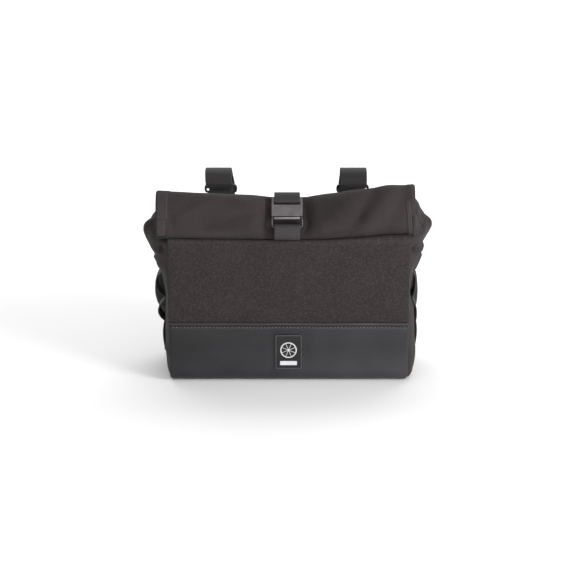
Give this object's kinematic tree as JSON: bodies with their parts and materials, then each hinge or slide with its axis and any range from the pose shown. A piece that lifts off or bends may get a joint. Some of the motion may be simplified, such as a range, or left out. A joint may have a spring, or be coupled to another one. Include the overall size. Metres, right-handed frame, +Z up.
{
  "type": "bicycle handlebar bag",
  "caption": "Roll-top handlebar bag with a hook buckle on webbing, a wrapped base band, looped side webbing and strap loops for a handlebar, standing on its base.",
  "frame": {"origin": "middle of the base, on the surface the bag stands on", "axes": "+Z up, -Y out of the front panel, +X to the right of someone who looks at the front; the handlebar lies behind and above, along X"},
  "size_m": [0.2975, 0.1272, 0.2022],
  "materials": {
    "bag_shell": "matt woven cloth, near black",
    "front_panel": "matt heavy weave with pale flecks",
    "base_band": "smooth coated cloth, soft sheen",
    "label_patch": "matt moulded",
    "closure_strap_upper": "ribbed webbing",
    "closure_strap_lower": "ribbed webbing",
    "hook_plate": "dark satin anodised",
    "hook_frame": "dark satin anodised",
    "bar_strap_left": "fuzzy hook and loop tape, black",
    "bar_strap_right": "fuzzy hook and loop tape, black",
    "bar_ring_left": "matt black",
    "bar_ring_right": "matt black",
    "ring_tab_left": "webbing",
    "ring_tab_right": "webbing",
    "side_webbing_left": "ribbed webbing",
    "side_webbing_right": "ribbed webbing"
  },
  "bodies": {
    "root": {"bag_shell": "bag_shell", "front_panel": "front_panel", "base_band": "base_band", "label_patch": "label_patch", "closure_strap_upper": "closure_strap_upper", "closure_strap_lower": "closure_strap_lower", "hook_plate": "hook_plate", "hook_frame": "hook_frame", "bar_strap_left": "bar_strap_left", "bar_strap_right": "bar_strap_right", "bar_ring_left": "bar_ring_left", "bar_ring_right": "bar_ring_right", "ring_tab_left": "ring_tab_left", "ring_tab_right": "ring_tab_right", "side_webbing_left": "side_webbing_left", "side_webbing_right": "side_webbing_right"}
  },
  "joints": []
}
